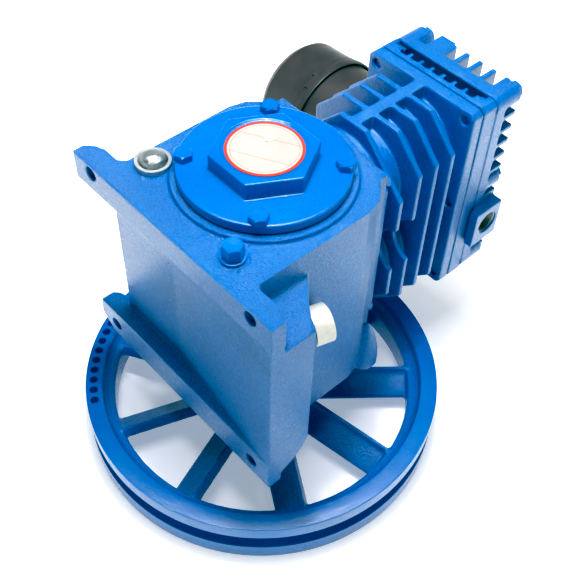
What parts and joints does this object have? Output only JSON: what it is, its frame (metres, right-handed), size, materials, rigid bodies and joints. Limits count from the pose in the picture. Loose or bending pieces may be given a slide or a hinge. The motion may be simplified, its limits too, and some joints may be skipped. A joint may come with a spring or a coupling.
{
  "type": "reciprocating air compressor pump",
  "caption": "Belt-driven air compressor pump: finned in-line cylinders, crankcase with bolt-down base, grooved fan flywheel and side intake filter.",
  "frame": {"origin": "on the crankshaft axis, in the plane of the flywheel's outer face", "axes": "+Z along the crankshaft, away from the flywheel; +X along the cylinders to the head; the mounting base faces -X"},
  "size_m": [0.4046, 0.3325, 0.2991],
  "materials": {
    "blue_paint": "gloss paint over a rough casting",
    "bright_steel": "plated steel",
    "bare_iron": "machined iron",
    "cast_aluminium": "cast and machined",
    "black_gasket": "matt sheet",
    "label_face": "printed foil, plain",
    "clear_window": "clear moulded dome",
    "zinc_cap": "satin plated cap",
    "black_plastic": "satin moulded plastic",
    "filter_foam": "pleated paper and foam",
    "bronze": "sintered bush"
  },
  "bodies": {
    "pump_housing": {"crankcase": "blue_paint", "end_cover_gasket": "black_gasket", "end_cover": "blue_paint", "end_cover_bolts": "blue_paint", "cover_disc": "label_face", "disc_rivet": "bright_steel", "sight_glass_ring": "bright_steel", "sight_glass_dome": "clear_window", "drain_plug": "bright_steel", "oil_fill_plug": "zinc_cap", "oil_fill_gasket": "black_gasket", "bearing_outer_races": "bright_steel", "shaft_seal": "black_gasket", "cylinder_base_gasket": "black_gasket", "cylinder_block": "blue_paint", "cylinder_base_bolts": "bright_steel", "valve_plate_gasket": "black_gasket", "valve_plate": "blue_paint", "reed_stops": "bright_steel", "reed_screws": "bright_steel", "head_gasket": "black_gasket", "cylinder_head": "blue_paint", "head_bolts": "blue_paint", "filter_nipple": "bare_iron", "filter_base": "black_plastic", "filter_element": "filter_foam"},
    "filter_cover": {"filter_cover": "black_plastic"},
    "crank": {"crankshaft": "bare_iron", "bearing_inner_races": "bright_steel", "bearing_balls": "bright_steel", "flywheel": "blue_paint", "flywheel_key": "bright_steel", "flywheel_washer": "bright_steel", "flywheel_bolt": "bright_steel"},
    "rod_1": {"connecting_rod_1": "cast_aluminium", "rod_cap_1": "cast_aluminium", "rod_bolts_1": "bright_steel"},
    "rod_2": {"connecting_rod_2": "cast_aluminium", "rod_cap_2": "cast_aluminium", "rod_bolts_2": "bright_steel"},
    "shaft_plug_1": {"shaft_end_plug_1": "bright_steel"},
    "shaft_plug_2": {"shaft_end_plug_2": "bright_steel"},
    "piston_unit_1": {"piston_1": "cast_aluminium", "piston_rings_1": "bare_iron", "wrist_pin_1": "bright_steel", "small_end_bush_1": "bronze"},
    "piston_unit_2": {"piston_2": "cast_aluminium", "piston_rings_2": "bare_iron", "wrist_pin_2": "bright_steel", "small_end_bush_2": "bronze"},
    "intake_reed_1": {"intake_reed_1": "bright_steel"},
    "intake_reed_2": {"intake_reed_2": "bright_steel"},
    "discharge_reed_1": {"discharge_reed_1": "bright_steel"},
    "discharge_reed_2": {"discharge_reed_2": "bright_steel"}
  },
  "joints": [
    {"name": "crank_spin", "type": "hinge", "parent": "pump_housing", "child": "crank", "pos_m": [0, 0, 0], "axis": [0, 0, 1], "continuous": true},
    {"name": "rod_1_big_end", "type": "hinge", "parent": "crank", "child": "rod_1", "pos_m": [0.019, 0, 0.224], "axis": [0, 0, 1], "continuous": true},
    {"name": "rod_2_big_end", "type": "hinge", "parent": "crank", "child": "rod_2", "pos_m": [-0.019, 0, 0.139], "axis": [0, 0, 1], "continuous": true},
    {"name": "shaft_plug_1_turn", "type": "hinge", "parent": "crank", "child": "shaft_plug_1", "pos_m": [0.0095, 0, 0.272], "axis": [0, 0, 1], "continuous": true},
    {"name": "shaft_plug_2_turn", "type": "hinge", "parent": "crank", "child": "shaft_plug_2", "pos_m": [-0.0095, 0, 0.272], "axis": [0, 0, 1], "continuous": true},
    {"name": "piston_1_drive", "type": "hinge", "parent": "shaft_plug_1", "child": "piston_unit_1", "pos_m": [0.019, 0, 0.224], "axis": [0, 0, 1], "continuous": true},
    {"name": "piston_2_drive", "type": "hinge", "parent": "shaft_plug_2", "child": "piston_unit_2", "pos_m": [-0.019, 0, 0.139], "axis": [0, 0, 1], "continuous": true},
    {"name": "filter_cover_twist", "type": "hinge", "parent": "pump_housing", "child": "filter_cover", "pos_m": [0.198, 0.15, 0.146], "axis": [0, 1, 0], "range_deg": [0, 15]},
    {"name": "intake_reed_1_flex", "type": "hinge", "parent": "pump_housing", "child": "intake_reed_1", "pos_m": [0.16945, 0.017, 0.214], "axis": [0, 0, 1], "range_deg": [-3, 0], "stiffness_Nm_per_rad": 0.5},
    {"name": "discharge_reed_1_flex", "type": "hinge", "parent": "pump_housing", "child": "discharge_reed_1", "pos_m": [0.17845, -0.028, 0.239], "axis": [0, 0, 1], "range_deg": [-2, 0], "stiffness_Nm_per_rad": 0.5},
    {"name": "intake_reed_2_flex", "type": "hinge", "parent": "pump_housing", "child": "intake_reed_2", "pos_m": [0.16945, 0.017, 0.129], "axis": [0, 0, 1], "range_deg": [-3, 0], "stiffness_Nm_per_rad": 0.5},
    {"name": "discharge_reed_2_flex", "type": "hinge", "parent": "pump_housing", "child": "discharge_reed_2", "pos_m": [0.17845, -0.028, 0.154], "axis": [0, 0, 1], "range_deg": [-2, 0], "stiffness_Nm_per_rad": 0.5}
  ],
  "couplings": [
    {"joint": "rod_1_big_end", "follows": "crank_spin", "ratio": -1},
    {"joint": "rod_2_big_end", "follows": "crank_spin", "ratio": -1},
    {"joint": "shaft_plug_1_turn", "follows": "crank_spin", "ratio": -2},
    {"joint": "shaft_plug_2_turn", "follows": "crank_spin", "ratio": -2},
    {"joint": "piston_1_drive", "follows": "crank_spin", "ratio": 1},
    {"joint": "piston_2_drive", "follows": "crank_spin", "ratio": 1}
  ]
}
